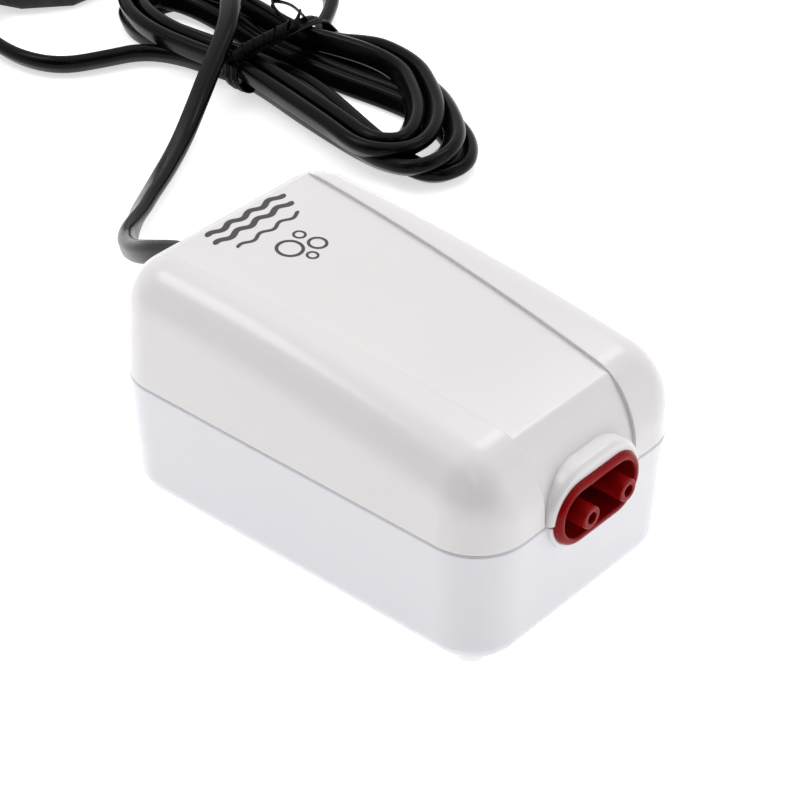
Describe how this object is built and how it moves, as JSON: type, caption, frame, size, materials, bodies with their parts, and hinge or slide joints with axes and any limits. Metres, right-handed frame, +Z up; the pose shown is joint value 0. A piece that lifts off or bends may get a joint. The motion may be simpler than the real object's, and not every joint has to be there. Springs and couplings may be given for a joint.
{
  "type": "aquarium air pump",
  "caption": "Small mains air pump: two-part white case, red outlet block with two airline nipples, vibrating arms and diaphragms inside, flat cord in a tied hank.",
  "frame": {"origin": "on the floor, under the middle of the pump without its cord (from nipple tips to back wall)", "axes": "+Z up, outlets point to -Y, mains cord leaves at +Y, +X to the right seen from the outlets' side with +Y away"},
  "size_m": [0.2151, 0.3246, 0.0595],
  "materials": {
    "upper_case": "glossy warm white moulded plastic",
    "lower_case": "glossy cool white moulded plastic",
    "outlet_red": "satin deep red moulded plastic",
    "rubber_black": "soft black rubber",
    "steel": "zinc-plated steel",
    "felt": "white felt",
    "chassis_grey": "matte dark grey plastic",
    "core_steel": "varnished laminated steel",
    "bobbin_plastic": "natural nylon",
    "copper": "enamelled copper wire",
    "tape": "yellow polyester tape",
    "wire_sleeve": "coloured wire insulation",
    "arm_plastic": "glass-filled nylon",
    "ferrite": "dark ceramic magnet",
    "pump_plastic": "off-white acetal",
    "silicone": "translucent silicone",
    "cord_black": "black flat PVC cord",
    "tie_black": "black plastic-coated twist tie",
    "plug_black": "moulded dark plug plastic",
    "pin_metal": "nickel-plated brass"
  },
  "bodies": {
    "pump": {"upper_shell": "upper_case", "lower_shell": "lower_case", "rubber_feet": "rubber_black", "case_screws": "steel", "filter_pad": "felt", "filter_cover": "lower_case", "outlet_block": "outlet_red", "chassis": "chassis_grey", "chassis_grommets": "rubber_black", "chassis_screws": "steel", "core_laminations": "core_steel", "core_screws": "steel", "coil_bobbin": "bobbin_plastic", "coil_winding": "copper", "coil_tape": "tape", "lead_splices": "bobbin_plastic", "mains_wires": "wire_sleeve", "pivot_pins": "steel", "pivot_clips": "steel", "ring_screws": "steel", "pump_screws": "steel", "strain_relief": "cord_black", "cord_lead": "cord_black", "cord_hank": "cord_black", "cord_tail": "cord_black", "cord_tie": "tie_black", "plug_body": "plug_black", "plug_pins": "pin_metal", "left_valve_housing": "pump_plastic", "left_chamber_body": "pump_plastic", "left_inlet_flap": "rubber_black", "left_outlet_flap": "rubber_black", "left_diaphragm": "rubber_black", "left_clamp_ring": "pump_plastic", "left_air_tube": "silicone", "right_valve_housing": "pump_plastic", "right_chamber_body": "pump_plastic", "right_inlet_flap": "rubber_black", "right_outlet_flap": "rubber_black", "right_diaphragm": "rubber_black", "right_clamp_ring": "pump_plastic", "right_air_tube": "silicone"},
    "left_arm": {"left_arm": "arm_plastic", "left_magnet": "ferrite", "left_diaphragm_bolt": "steel", "left_diaphragm_nut": "steel"},
    "right_arm": {"right_arm": "arm_plastic", "right_magnet": "ferrite", "right_diaphragm_bolt": "steel", "right_diaphragm_nut": "steel"}
  },
  "joints": [
    {"name": "left_arm_swing", "type": "hinge", "parent": "pump", "child": "left_arm", "pos_m": [-0.0256, 0.0375, 0.0316], "axis": [0, 0, 1], "range_deg": [-1.5, 1.5], "stiffness_Nm_per_rad": 0.3, "deforming": ["left_diaphragm"]},
    {"name": "right_arm_swing", "type": "hinge", "parent": "pump", "child": "right_arm", "pos_m": [0.0256, 0.0375, 0.0316], "axis": [0, 0, 1], "range_deg": [-1.5, 1.5], "stiffness_Nm_per_rad": 0.3, "deforming": ["right_diaphragm"]}
  ],
  "couplings": [
    {"joint": "right_arm_swing", "follows": "left_arm_swing", "ratio": -1}
  ]
}
